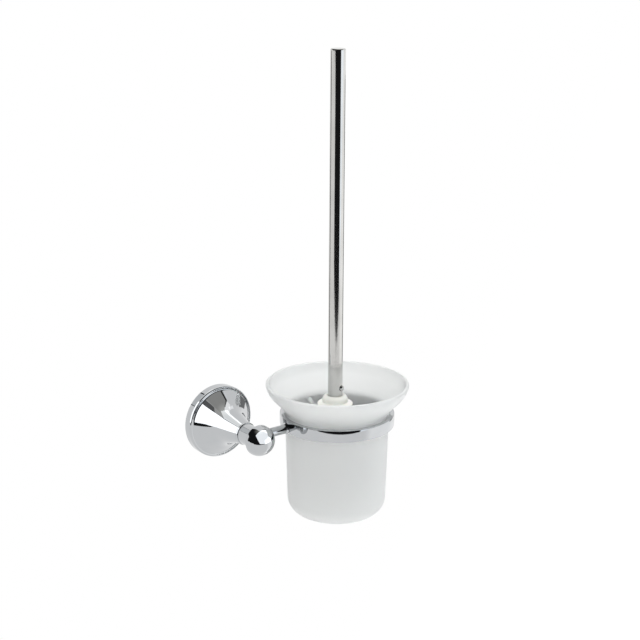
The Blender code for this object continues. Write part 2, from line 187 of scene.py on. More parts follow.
# Softboxes for some pieces only: heading, rise, distance, width, height, radiance, tint
FITTING = ("rose_shell", "neck_bead", "boss_barrel")
FITTING_LIGHTS = {
    "left": (-86.0, 24.0, 1.0, 1.8, 1.10, 2.2, (0.98, 0.99, 1.0)),
    "ceiling": (-30.0, 82.0, 1.0, 1.6, 1.2, 0.40, (1.0, 0.99, 0.95)),
    "upper_left": (-80.0, 56.0, 1.2, 2.4, 0.5, 0.14, (1.0, 1.0, 1.0)),
    "back_left": (-150.0, 57.0, 1.0, 0.72, 1.34, 0.80, (0.97, 0.99, 1.0)),
    "window": (105.0, 52.0, 1.2, 0.22, 0.5, 0.4, (1.0, 1.0, 1.0)),
}
CAP_LIGHTS = {
    "cap": (12.0, 38.0, 1.2, 3.0, 2.6, 1.6, (0.96, 0.98, 1.0)),
}
SOFT_LIGHTS = {
    "front": (-38.0, 27.0, 1.3, 1.6, 1.1, 0.70, (1.0, 1.0, 1.0)),
    "side": (-108.0, 6.0, 1.3, 1.2, 0.9, 0.6, (1.0, 1.0, 1.0)),
    "low": (-38.0, 1.0, 1.3, 2.4, 0.5, 2.1, (1.0, 1.0, 1.0)),
    "top": (-38.0, 80.0, 1.0, 1.4, 1.4, 1.8, (1.0, 1.0, 1.0)),
}

OUT_OF_WALL = Matrix.Rotation(math.radians(90.0), 4, "X")
ALONG_X = Matrix.Rotation(math.radians(90.0), 4, "Y")


# ---------------------------------------------------------------- outlines

def rounded(corners, arc_step=ARC_STEP):
    """The outline through (radius, height, fillet) corners, with each fillet as an arc."""
    outline = []
    for index, (radius, height, fillet) in enumerate(corners):
        here = Vector((radius, height))
        if fillet == 0.0 or index in (0, len(corners) - 1):
            outline.append((radius, height))
            continue
        back = (Vector(corners[index - 1][:2]) - here).normalized()
        ahead = (Vector(corners[index + 1][:2]) - here).normalized()
        half = back.angle(ahead) / 2.0
        centre = here + (back + ahead).normalized() * fillet / math.sin(half)
        start = here + back * fillet / math.tan(half) - centre
        sweep = start.angle_signed(here + ahead * fillet / math.tan(half) - centre)
        steps = max(2, math.ceil(abs(sweep) / arc_step))
        for step in range(steps + 1):
            turn = -sweep * step / steps
            across = start.x * math.cos(turn) - start.y * math.sin(turn)
            up = start.x * math.sin(turn) + start.y * math.cos(turn)
            outline.append((centre.x + across, centre.y + up))
    return outline


def inset(corners, thickness):
    """The same corners moved a wall's thickness to the left of their path."""
    moved = []
    for index, (radius, height, fillet) in enumerate(corners):
        here = Vector((radius, height))
        sides = []
        if index > 0:
            sides.append((here - Vector(corners[index - 1][:2])).normalized())
        if index < len(corners) - 1:
            sides.append((Vector(corners[index + 1][:2]) - here).normalized())
        normals = [Vector((-side.y, side.x)) for side in sides]
        mean = sum(normals, Vector((0.0, 0.0))).normalized()
        here += mean * thickness / mean.dot(normals[0])
        turns_left = len(sides) == 2 and sides[0].cross(sides[1]) > 0.0
        change = -thickness if turns_left else thickness
        moved.append((max(here.x, 0.0), here.y, max(fillet + change, 0.0) if fillet else 0.0))
    return moved


def arc(centre, radius, start, end, arc_step=ARC_STEP):
    """Points on an arc about centre, with angles in degrees."""
    steps = max(2, math.ceil(math.radians(abs(end - start)) / arc_step))
    points = []
    for step in range(steps + 1):
        angle = math.radians(start + (end - start) * step / steps)
        points.append((centre[0] + radius[0] * math.cos(angle),
                       centre[1] + radius[1] * math.sin(angle)))
    return points


def braced(outline):
    """The outline with a point added near each end of its long straight stretches."""
    points = [outline[0]]
    for near, far in zip(outline, outline[1:]):
        run = Vector(far) - Vector(near)
        if run.length > 6.0 * BRACE:
            step = run.normalized() * BRACE
            points.append(tuple(Vector(near) + step))
            points.append(tuple(Vector(far) - step))
        points.append(far)
    return points


# ---------------------------------------------------------------- meshes

def add_mesh(name, bm, material, body, nodes=(), sharp=SHARP):
    """Put a finished bmesh into the scene as a smooth-shaded piece that rides on a body."""
    bmesh.ops.recalc_face_normals(bm, faces=bm.faces)
    mesh = bpy.data.meshes.new(name)
    bm.to_mesh(mesh)
    bm.free()
    mesh.shade_smooth()
    mesh.set_sharp_from_angle(angle=math.radians(sharp))
    mesh.materials.append(material)
    piece = bpy.data.objects.new(name, mesh)
    bpy.context.scene.collection.objects.link(piece)
    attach(piece, body)
    if nodes:
        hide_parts(*nodes)
    return piece


def turn_into(bm, outline, steps, place):
    """Turn an outline of (radius, height) points about the Z axis of place.

    An outline with both ends on the axis is a solid, and any other is a closed ring.
    """
    loops = []
    for radius, height in outline:
        if radius < ON_AXIS:
            loops.append([bm.verts.new(place @ Vector((0.0, 0.0, height)))])
            continue
        loop = []
        for step in range(steps):
            angle = 2.0 * math.pi * step / steps
            point = Vector((radius * math.cos(angle), radius * math.sin(angle), height))
            loop.append(bm.verts.new(place @ point))
        loops.append(loop)
    following = loops[1:] if len(loops[0]) == 1 else loops[1:] + loops[:1]
    for near, far in zip(loops, following):
        for step in range(steps):
            after = (step + 1) % steps
            if len(near) == 1:
                bm.faces.new((near[0], far[after], far[step]))
            elif len(far) == 1:
                bm.faces.new((near[step], near[after], far[0]))
            else:
                bm.faces.new((near[step], near[after], far[after], far[step]))


def turned(outline, steps, place=Matrix.Identity(4)):
    bm = bmesh.new()
    turn_into(bm, outline, steps, place)
    return bm


def rod(radius, start, end):
    """The outline of a plain cylinder."""
    return [(0.0, start), (radius, start), (radius, end), (0.0, end)]


def cut(piece, outline, steps, place):
    """Take a turned shape out of a piece, and leave no modifier behind."""
    bm = turned(outline, steps, place)
    bmesh.ops.recalc_face_normals(bm, faces=bm.faces)
    mesh = bpy.data.meshes.new("cutter")
    bm.to_mesh(mesh)
    bm.free()
    cutter = bpy.data.objects.new("cutter", mesh)
    bpy.context.scene.collection.objects.link(cutter)
    modifier = piece.modifiers.new("cut", "BOOLEAN")
    modifier.operation = "DIFFERENCE"
    modifier.solver = "EXACT"
    modifier.object = cutter
    bpy.context.view_layer.update()
    evaluated = piece.evaluated_get(bpy.context.evaluated_depsgraph_get())
    result = bpy.data.meshes.new_from_object(evaluated)
    piece.modifiers.clear()
    piece.data = result
    piece.data.shade_smooth()
    piece.data.set_sharp_from_angle(angle=math.radians(CUT_SHARP))
    bpy.data.objects.remove(cutter)


# ---------------------------------------------------------------- materials

class Finish:
    """A Principled material whose detail comes from noise in the frame's own metres."""

    def __init__(self, name):
        self.material = bpy.data.materials.new(name)
        self.material.use_nodes = True
        self.tree = self.material.node_tree
        self.shader = self.tree.nodes["Principled BSDF"]
        self.place = self.node("ShaderNodeTexCoord").outputs["Object"]

    def node(self, kind, **inputs):
        made = self.tree.nodes.new(kind)
        for name, value in inputs.items():
            self.feed(made.inputs[name.replace("_", " ")], value)
        return made

    def feed(self, socket, value):
        if isinstance(value, bpy.types.NodeSocket):
            self.tree.links.new(value, socket)
        else:
            socket.default_value = value

    def set(self, **inputs):
        for name, value in inputs.items():
            self.feed(self.shader.inputs[name.replace("_", " ")], value)

    def stretched(self, scale):
        return self.node("ShaderNodeMapping", Vector=self.place, Scale=scale).outputs["Vector"]

    def noise(self, scale, detail=3.0, place=None):
        made = self.node("ShaderNodeTexNoise", Vector=place or self.place, Scale=scale)
        made.inputs["Detail"].default_value = detail
        return made.outputs["Fac"]

    def spread(self, value, low, high, start=0.3, end=0.7):
        """Map a noise to the range low to high."""
        made = self.node("ShaderNodeMapRange", Value=value)
        ends = {"From Min": start, "From Max": end, "To Min": low, "To Max": high}
        for name, number in ends.items():
            made.inputs[name].default_value = number
        return made.outputs["Result"]

    def blend(self, factor, first, second):
        made = self.tree.nodes.new("ShaderNodeMix")
        made.data_type = "RGBA"
        self.feed(made.inputs["Factor"], factor)
        self.feed(made.inputs["A"], first)
        self.feed(made.inputs["B"], second)
        return made.outputs[2]

    def bump(self, height, distance, strength=1.0, normal=None):
        made = self.node("ShaderNodeBump", Height=height, Distance=distance, Strength=strength)
        if normal:
            self.feed(made.inputs["Normal"], normal)
        self.set(Normal=made.outputs["Normal"])
        return made.outputs["Normal"]


def colour(red, green, blue):
    return (red, green, blue, 1.0)


def chrome():
    """Bright chrome plate: a faint orange peel, and a thin haze of wiping marks."""
    look = Finish("chrome_plate")
    haze = look.noise(70.0, 5.0)
    look.set(Base_Color=look.blend(look.spread(haze, 0.0, 1.0), colour(0.495, 0.51, 0.525),
                                   colour(0.52, 0.53, 0.54)))
    look.set(Metallic=1.0, Roughness=look.spread(haze, 0.015, 0.035))
    peel = look.bump(look.noise(260.0, 2.0), 0.00001, 0.5)
    look.bump(look.noise(1500.0, 2.0), 0.000001, 0.3, peel)
    return look.material


def stainless():
    """Bright drawn stainless steel: fine scratches along the tube."""
    look = Finish("stainless_steel")
    drawn = look.noise(1.0, 6.0, look.stretched((2600.0, 2600.0, 45.0)))
    smear = look.noise(55.0, 4.0)
    look.set(Base_Color=look.blend(look.spread(smear, 0.0, 1.0), colour(0.53, 0.525, 0.51),
                                   colour(0.60, 0.595, 0.58)))
    look.set(Metallic=1.0, Roughness=look.spread(drawn, 0.06, 0.12))
    look.bump(drawn, 0.0000012, 0.4)
    return look.material


def zinc():
    """Passivated zinc plate: mottled, dull and slightly uneven."""
    look = Finish("zinc_steel")
    mottle = look.noise(500.0, 6.0)
    look.set(Base_Color=look.blend(look.spread(mottle, 0.0, 1.0), colour(0.42, 0.44, 0.47),
                                   colour(0.62, 0.62, 0.60)))
    look.set(Metallic=1.0, Roughness=look.spread(mottle, 0.28, 0.5))
    look.bump(look.noise(2400.0, 3.0), 0.00002, 0.5)
    return look.material


def frosted_glass():
    """Acid-etched glass: a fine even tooth, with slow changes in the etch."""
    look = Finish("frosted_glass")
    etch = look.noise(35.0, 3.0)
    tooth = look.noise(5200.0, 2.0)
    look.set(Base_Color=look.blend(look.spread(etch, 0.0, 1.0), colour(0.955, 0.97, 0.965),
                                   colour(0.975, 0.985, 0.98)))
    look.set(Roughness=look.spread(etch, 0.36, 0.42), IOR=1.5, Transmission_Weight=0.58)
    look.bump(tooth, 0.000012, 0.35)
    return look.material


def white_plastic():
    """Moulded off-white plastic with a faint flow pattern."""
    look = Finish("white_plastic")
    flow = look.noise(90.0, 4.0)
    look.set(Base_Color=look.blend(look.spread(flow, 0.0, 1.0), colour(0.83, 0.83, 0.78),
                                   colour(0.87, 0.87, 0.83)))
    look.set(Roughness=look.spread(flow, 0.28, 0.42))
    look.set(Subsurface_Weight=0.15, Subsurface_Scale=0.002)
    look.bump(look.noise(900.0, 3.0), 0.000015, 0.5)
    return look.material


def bristle_nylon():
    """White nylon filament, a little milky, with small differences along each one."""
    look = Finish("bristle_nylon")
    streak = look.noise(300.0, 3.0)
    look.set(Base_Color=look.blend(look.spread(streak, 0.0, 1.0), colour(0.86, 0.87, 0.87),
                                   colour(0.94, 0.95, 0.95)))
    look.set(Roughness=look.spread(streak, 0.35, 0.55))
    look.set(Subsurface_Weight=0.1, Subsurface_Scale=0.001)
    look.bump(look.noise(3500.0, 2.0), 0.00001, 0.4)
    return look.material


# ---------------------------------------------------------------- frame measures

def middle(node):
    low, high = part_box(node)
    return (low + high) / 2.0


def half_width(node):
    low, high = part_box(node)
    return (high.x - low.x) / 2.0


def depths(node):
    """How far a piece starts and ends from the wall."""
    low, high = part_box(node)
    return -high.y, -low.y


def at(point):
    return Matrix.Translation(point)


wall_axis = at(Vector((middle("wall_rose").x, 0.0, middle("wall_rose").z))) @ OUT_OF_WALL
cup_axis = at(Vector((middle("glass_cup").x, middle("glass_cup").y, 0.0)))
brush_axis = at(Vector((middle("brush_core").x, middle("brush_core").y, 0.0)))
press = next(joint for joint in frame["joints"] if joint["name"] == "button_press")
button_out = -Vector(press["axis"]).normalized()
button_axis = (at(Vector((brush_axis.translation.x, brush_axis.translation.y,
                          middle("retaining_button").z)))
               @ button_out.to_track_quat("Z", "Y").to_matrix().to_4x4())


# ---------------------------------------------------------------- wall fitting

def make_rose(material):
    """The hollow trumpet with its rolled rim."""
    neck_depth = depths("wall_rose")[1]
    rose_r = half_width("wall_rose")
    bracket_r = half_width("wall_bracket") + GAP
    bracket_t = depths("wall_bracket")[1] + GAP
    outside = rounded([
        (BOLT_HOLE_R, neck_depth, 0.0), (ROSE_NECK_R, neck_depth, EDGE),
        (WAIST_R, WAIST_DEPTH, TRUMPET_CURVE), (SHOULDER_R, RIM_DEPTH, SHOULDER_FILLET),
        (rose_r, RIM_DEPTH, RIM_FILLET), (rose_r, 0.0, EDGE / 2), (rose_r - ROSE_WALL, 0.0, 0.0),
    ], math.radians(2.0))
    inside = [
        (bracket_r, 0.0), (bracket_r, bracket_t),
        (SHOULDER_R - 2 * ROSE_WALL, RIM_DEPTH + ROSE_WALL / 2),
        (WAIST_R - 1.2 * ROSE_WALL, WAIST_DEPTH),
        (ROSE_NECK_R - ROSE_WALL, neck_depth - NECK_WALL), (BOLT_HOLE_R, neck_depth - NECK_WALL),
    ]
    bm = turned(braced(outside) + inside, FINE, wall_axis)
    rose = add_mesh("rose_shell", bm, material, "wall_mount", ["wall_rose"])
    grub = middle("rose_grub_screw")
    hole_r = half_width("rose_grub_screw") + GAP
    place = at(Vector((grub.x, grub.y, 0.0)))
    cut(rose, rod(hole_r, -rose_r - 2 * ROSE_WALL, -bracket_r), SMALL, place)


def make_collar(material):
    start, end = depths("neck_collar")
    bulge = (end - start) / 2
    radius = half_width("neck_collar")
    outline = [(BOLT_HOLE_R, start)]
    outline += arc((radius - bulge, start + bulge), (bulge, bulge), -90.0, 90.0)
    outline += [(BOLT_HOLE_R, end)]
    bm = turned(outline, MEDIUM, wall_axis)
    add_mesh("neck_bead", bm, material, "wall_mount", ["neck_collar"])


def make_boss(material):
    start, end = depths("arm_boss")
    radius = half_width("arm_boss")
    outline = rounded([
        (BOLT_HOLE_R, start, 0.0), (radius, start, EDGE),
        (radius, end, EDGE), (BOLT_HOLE_R, end, 0.0),
    ])
    bm = turned(braced(outline), MEDIUM, wall_axis)
    boss = add_mesh("boss_barrel", bm, material, "wall_mount", ["arm_boss"])
    arm = middle("arm_rod")
    arm_r = (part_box("arm_rod")[1].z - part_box("arm_rod")[0].z) / 2
    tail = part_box("arm_rod")[0].x
    socket = rounded([
        (0.0, tail - GAP, 0.0), (arm_r + GAP, tail - GAP, 0.0), (arm_r + GAP, 2 * radius, 0.0),
        (0.0, 2 * radius, 0.0),
    ])
    cut(boss, socket, MEDIUM, at(Vector((0.0, arm.y, arm.z))) @ ALONG_X)


def make_cap(material):
    back, tip = depths("end_cap")
    radius = half_width("end_cap")
    lip = back + CAP_LIP
    thread_end = back + CAP_THREAD
    outline = [(0.0, thread_end), (BOLT_HOLE_R, thread_end), (BOLT_HOLE_R, back)]
    outline += arc((radius - EDGE, back + EDGE), (EDGE, EDGE), -90.0, 0.0)
    outline += arc((0.0, lip), (radius, tip - lip), 0.0, 88.0, math.radians(2.0))
    outline += [(0.0, tip)]
    bm = turned(braced(outline), FINE, wall_axis)
    add_mesh("dome_cap", bm, material, "wall_mount", ["end_cap"])


def make_arm(material):
    low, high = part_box("arm_rod")
    radius = (high.z - low.z) / 2
    ring_r = half_width("support_ring")
    place = at(Vector((0.0, middle("arm_rod").y, middle("arm_rod").z))) @ ALONG_X
    reach = high.x + radius
    outline = rounded([
        (0.0, low.x, 0.0), (radius, low.x, EDGE), (radius, reach, 0.0), (0.0, reach, 0.0),
    ])
    bm = turned(braced(outline), MEDIUM, place)
    arm = add_mesh("arm_bar", bm, material, "wall_mount", ["arm_rod"])
    cut(arm, rod(BOLT_HOLE_R, depths("arm_boss")[0], depths("end_cap")[1]), MEDIUM, wall_axis)
    cut(arm, rod(ring_r + GAP, -3 * radius, 3 * radius), FINE, cup_axis)


def make_ring(material):
    low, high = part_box("support_ring")
    radius = half_width("support_ring")
    half = (high.z - low.z) / 2
    centre_z = (high.z + low.z) / 2
    curve = (half ** 2 + RING_CROWN ** 2) / (2 * RING_CROWN)
    lean = math.asin((half - EDGE) / curve)
    bore = radius - RING_WALL
    top_r = radius - curve * (1.0 - math.cos(lean))
    face = arc((radius - curve, centre_z), (curve, curve), -math.degrees(lean), math.degrees(lean),
               math.radians(1.5))
    roll = arc((top_r - EDGE, high.z - EDGE), (EDGE, EDGE), math.degrees(lean), 90.0)
    under = [(r, 2 * centre_z - z) for r, z in reversed(roll)]
    outline = [(bore + EDGE / 2, low.z)] + under + face[1:-1] + roll
    outline += [(bore + EDGE / 2, high.z), (bore, high.z - EDGE / 2), (bore, low.z + EDGE / 2)]
    bm = turned(outline, 2 * FINE, cup_axis)
    add_mesh("ring_band", bm, material, "wall_mount", ["support_ring"])


def make_braze(material):
    """The small fillet of braze where the arm meets the ring."""
    low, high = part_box("arm_rod")
    radius = (high.z - low.z) / 2
    ring_r = half_width("support_ring") + GAP / 2
    centre = cup_axis.translation
    arm_y = middle("arm_rod").y
    bm = bmesh.new()
    loops = []
    for step in range(BRAZE_AROUND):
        angle = 2.0 * math.pi * step / BRAZE_AROUND
        loop = []
        for part in range(BRAZE_ALONG + 1):
            bend = math.radians(90.0) * part / BRAZE_ALONG
            reach = radius + BRAZE_FILLET * (1.0 - math.sin(bend)) + BRAZE_LIFT
            lift = BRAZE_FILLET * (1.0 - math.cos(bend)) + BRAZE_LIFT
            y = arm_y + reach * math.cos(angle)
            z = reach * math.sin(angle)
            x = centre.x - math.sqrt(ring_r ** 2 - (y - centre.y) ** 2) - lift
            loop.append(bm.verts.new((x, y, z)))
        loops.append(loop)
    for near, far in zip(loops, loops[1:] + loops[:1]):
        for part in range(BRAZE_ALONG):
            bm.faces.new((near[part], near[part + 1], far[part + 1], far[part]))
        bm.faces.new((near[BRAZE_ALONG], near[0], far[0], far[BRAZE_ALONG]))
    add_mesh("arm_braze", bm, material, "wall_mount")


# ---------------------------------------------------------------- cup

def make_glass(material):
    low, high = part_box("glass_cup")
    bowl_r = half_width("glass_cup")
    half = GLASS_T / 2
    end = (bowl_r - half + half * math.cos(BOWL_LEAN), high.z - half - half * math.sin(BOWL_LEAN))
    bend = (end[0] - BOWL_RIM * math.sin(BOWL_LEAN), end[1] - BOWL_RIM * math.cos(BOWL_LEAN))
    outside = [
        (0.0, low.z, 0.0), (FOOT_R, low.z, FOOT_FILLET), (NECK_R, NECK_Z, NECK_FILLET),
        (*bend, BOWL_FILLET), (*end, 0.0),
    ]
    lean = math.degrees(BOWL_LEAN)
    lip = arc((bowl_r - half, high.z - half), (half, half), -lean, 180.0 - lean,
              math.radians(12.0))
    inside = inset(outside, GLASS_T)
    fine = math.radians(4.0)
    outline = rounded(outside, fine)[:-1] + lip + rounded(inside, fine)[::-1][1:]
    bm = turned(outline, FINE, cup_axis)
    add_mesh("cup_glass", bm, material, "cup", ["glass_cup"], SMOOTH)


# ---------------------------------------------------------------- brush

def make_tube(material):
    low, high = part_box("handle_tube")
    radius = half_width("handle_tube")
    bore = radius - TUBE_WALL
    ceiling = high.z - TUBE_CROWN
    outside = rounded([
        (bore, low.z, 0.0), (radius, low.z, TUBE_WALL / 4), (radius, high.z, TUBE_CROWN),
        (0.0, high.z, 0.0),
    ])
    outline = [(0.0, ceiling), (bore, ceiling)] + braced(outside)
    bm = turned(outline, MEDIUM, brush_axis)
    tube = add_mesh("handle_shaft", bm, material, "brush", ["handle_tube"])
    cut(tube, rod(BUTTON_R + GAP, SPIGOT_R - TUBE_WALL, BUTTON_TIP), SMALL, button_axis)


def row_heights():
    """The middle height of each row of tufts, from the top."""
    rows = sorted(n for n in frame["nodes"] if n.startswith("bristle_row_"))
    return [(row, middle(row).z) for row in rows]


def tuft_angle(row, place):
    """Tufts stand in staggered rows, so that they make a diamond pattern."""
    return 2.0 * math.pi * (place + 0.5 * (row % 2)) / TUFTS_ROUND


def make_core(material):
    """The moulded head: spigot, stepped dome, flange and core, with a pocket for the button."""
    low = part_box("brush_core")[0]
    tube_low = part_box("handle_tube")[0]
    socket_r = half_width("handle_tube") + GAP
    socket_z = tube_low.z - GAP
    flange_r = half_width("brush_core")
    dome_z = FLANGE_Z + DOME_FOOT
    crown_r = socket_r + EDGE
    chamfer = 2.5 * EDGE
    fine = math.radians(10.0)
    outline = [(0.0, low.z), (CORE_R - chamfer, low.z), (CORE_R, low.z + chamfer)]
    outline += [(CORE_R, CORE_TOP - EDGE), (CORE_R + EDGE, CORE_TOP)]
    outline += arc((flange_r - FLANGE_EDGE, FLANGE_Z - FLANGE_EDGE), (FLANGE_EDGE, FLANGE_EDGE),
                   -80.0, 85.0, fine)
    outline += arc((DOME_R + FLANGE_EDGE, dome_z - FLANGE_EDGE), (FLANGE_EDGE, FLANGE_EDGE),
                   -95.0, -180.0, fine)
    outline += arc((crown_r, dome_z), (DOME_R - crown_r, DOME_TOP - dome_z), 0.0, 90.0, fine)
    outline += [(socket_r, DOME_TOP - EDGE / 2), (socket_r, socket_z), (SPIGOT_R, socket_z)]
    outline += [(SPIGOT_R, SPIGOT_TOP - chamfer), (SPIGOT_R - chamfer, SPIGOT_TOP)]
    outline += [(0.0, SPIGOT_TOP)]
    bm = turned(outline, MEDIUM, brush_axis)
    core = add_mesh("brush_head", bm, material, "brush", ["brush_core"])
    pocket = rod(BUTTON_FLANGE_R + GAP, POCKET_BACK, SPIGOT_R + EDGE * 5)
    cut(core, pocket, SMALL, button_axis)


def filament(bm, path, radius):
    """A thin thread along a path of points."""
    loops = []
    for index, point in enumerate(path):
        ahead = path[min(index + 1, len(path) - 1)] - path[max(index - 1, 0)]
        across = ahead.orthogonal().normalized()
        over = ahead.cross(across).normalized()
        loop = []
        for side in range(FILAMENT_SIDES):
            angle = 2.0 * math.pi * side / FILAMENT_SIDES
            offset = across * math.cos(angle) + over * math.sin(angle)
            loop.append(bm.verts.new(point + offset * radius))
        loops.append(loop)
    for near, far in zip(loops, loops[1:]):
        for side in range(FILAMENT_SIDES):
            after = (side + 1) % FILAMENT_SIDES
            bm.faces.new((near[side], near[after], far[after], far[side]))
    bm.faces.new(loops[0][::-1])
    bm.faces.new(loops[-1])


def tuft(bm, draw, root, out, reach, spread, count=FILAMENTS, squash=TUFT_SQUASH, droop=0.0):
    """A bunch of filaments that leaves one hole, fans out and droops a little."""
    side = Vector((0.0, 0.0, 1.0)).cross(out)
    side = side.normalized() if side.length > 0.1 else Vector((1.0, 0.0, 0.0))
    up = out.cross(side).normalized()
    for index in range(count):
        # An even spiral fills the bunch, and a small random part breaks it up
        share = math.sqrt((index + 0.5) / count)
        angle = index * SPIRAL_TURN + draw.uniform(-SPIRAL_JITTER, SPIRAL_JITTER)
        across = side * math.cos(angle) + up * math.sin(angle) * squash
        wander = side * draw.gauss(0.0, TIP_WANDER) + up * draw.gauss(0.0, TIP_WANDER)
        length = reach * draw.uniform(TIP_SHORTEST, 1.0) - TIP_DOME * share
        path = []
        for part in range(FILAMENT_STEPS + 1):
            along = part / FILAMENT_STEPS
            fan = TUFT_HOLE_R * share * (1.0 - along) + spread * share * along ** FAN_CURVE
            bend = Vector((0.0, 0.0, -droop * along ** 2))
            path.append(root + out * length * along + across * fan + wander * along ** 2 + bend)
        filament(bm, path, FILAMENT_R)


def make_tufts(material):
    """Staggered rows of tufts round the core, and a domed bunch at its end."""
    draw = random.Random(TUFT_SEED)
    centre = brush_axis.translation
    reach = half_width("bristle_row_1") - CORE_R + EDGE
    for row, (node, height) in enumerate(row_heights()):
        bm = bmesh.new()
        # The glass's neck presses the top row down
        squash, droop = (TOP_ROW_SQUASH, TOP_ROW_DROOP) if row == 0 else (TUFT_SQUASH, 0.0)
        for place in range(TUFTS_ROUND):
            angle = tuft_angle(row, place)
            out = Vector((math.cos(angle), math.sin(angle), 0.0))
            root = Vector((centre.x, centre.y, height)) + out * (CORE_R - EDGE)
            tuft(bm, draw, root, out, reach, TUFT_SPREAD, squash=squash, droop=droop)
        add_mesh(f"tufts_{row + 1}", bm, material, "brush", [node], SMOOTH)
    make_end_tufts(material, draw)


def make_end_tufts(material, draw):
    """Two rings of tufts and one in the middle, pointing down and out."""
    low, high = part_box("bristle_tip")
    centre = brush_axis.translation
    bm = bmesh.new()
    depth = high.z - low.z
    for count, lean, ring_r in END_TUFTS:
        for place in range(count):
            angle = 2.0 * math.pi * (place + 0.5) / count
            tilt = math.radians(lean)
            flat = Vector((math.cos(angle), math.sin(angle), 0.0))
            out = flat * math.sin(tilt) + Vector((0.0, 0.0, -math.cos(tilt)))
            root = Vector((centre.x, centre.y, high.z + EDGE)) + flat * ring_r
            side_room = half_width("bristle_tip") - ring_r - END_SIDE_ROOM
            reach = min(depth / math.cos(tilt), side_room)
            tuft(bm, draw, root, out, reach - END_TIP_ROOM, END_SPREAD, END_FILAMENTS)
    add_mesh("tufts_end", bm, material, "brush", ["bristle_tip"], SMOOTH)


def make_stray(material):
    """A few filaments that have been combed up past the flange."""
    draw = random.Random(STRAY_SEED)
    centre = brush_axis.translation
    bm = bmesh.new()
    heading = math.radians(STRAY_HEADING)
    for _ in range(STRAY_FILAMENTS):
        angle = heading + draw.uniform(-STRAY_FAN, STRAY_FAN)
        out = Vector((math.cos(angle), math.sin(angle), 0.0))
        root = Vector((centre.x, centre.y, STRAY_ROOT_Z)) + out * (CORE_R - EDGE)
        rise = STRAY_RISE + draw.uniform(-0.0012, 0.0010)
        reach = STRAY_REACH + draw.uniform(-0.0015, 0.0015)
        path = []
        for part in range(STRAY_STEPS + 1):
            along = part / STRAY_STEPS
            lift = Vector((0.0, 0.0, rise * along ** STRAY_CURVE))
            path.append(root + out * reach * along + lift)
        filament(bm, path, FILAMENT_R)
    add_mesh("tuft_combed_up", bm, material, "brush", (), SMOOTH)


def make_button(material):
    flange_end = BUTTON_FOOT + BUTTON_FLANGE_T
    shoulder = BUTTON_TIP - BUTTON_DOME
    outline = [(0.0, BUTTON_BORE_END), (BUTTON_BORE_R, BUTTON_BORE_END)]
    outline += [(BUTTON_BORE_R, BUTTON_FOOT), (BUTTON_FLANGE_R, BUTTON_FOOT)]
    outline += [(BUTTON_FLANGE_R, flange_end), (BUTTON_R, flange_end)]
    outline += arc((0.0, shoulder), (BUTTON_R, BUTTON_DOME), 0.0, 86.0)
    outline += [(0.0, BUTTON_TIP)]
    bm = turned(braced(outline), SMALL, button_axis)
    add_mesh("latch_button", bm, material, "button", ["retaining_button"])


# ---------------------------------------------------------------- studio

def make_camera():
    """The photograph's view: 38 degrees round to the left and 16 above the horizon."""
    data = bpy.data.cameras.new("camera")
    data.lens = LENS
    data.sensor_width = SENSOR
    camera = bpy.data.objects.new("camera", data)
    bpy.context.scene.collection.objects.link(camera)
    azimuth = math.radians(CAMERA_AZIMUTH)
    elevation = math.radians(CAMERA_ELEVATION)
    roll = math.radians(CAMERA_ROLL)
    back = Vector((math.sin(azimuth) * math.cos(elevation),
                   -math.cos(azimuth) * math.cos(elevation), math.sin(elevation)))
    look = (-back).to_track_quat("-Z", "Y").to_matrix().to_4x4()
    camera.matrix_world = at(Vector(CAMERA_PLACE)) @ look @ Matrix.Rotation(roll, 4, "Z")
    bpy.context.scene.camera = camera


def math_node(tree, operation, first, second=0.0):
    made = tree.nodes.new("ShaderNodeMath")
    made.operation = operation
    for socket, value in zip(made.inputs, (first, second)):
        if isinstance(value, bpy.types.NodeSocket):
            tree.links.new(value, socket)
        else:
            socket.default_value = value
    return made.outputs[0]


def step_up(tree, value, start, end):
    """A soft step from 0 at start to 1 at end."""
    made = tree.nodes.new("ShaderNodeMapRange")
    made.interpolation_type = "SMOOTHSTEP"
    tree.links.new(value, made.inputs["Value"])
    made.inputs["From Min"].default_value = start
    made.inputs["From Max"].default_value = end
    return made.outputs["Result"]


def mixed(tree, factor, first, second):
    made = tree.nodes.new("ShaderNodeMix")
    made.data_type = "RGBA"
    tree.links.new(factor, made.inputs["Factor"])
    for name, value in (("A", first), ("B", second)):
        if isinstance(value, bpy.types.NodeSocket):
            tree.links.new(value, made.inputs[name])
        else:
            made.inputs[name].default_value = value
    return made.outputs[2]


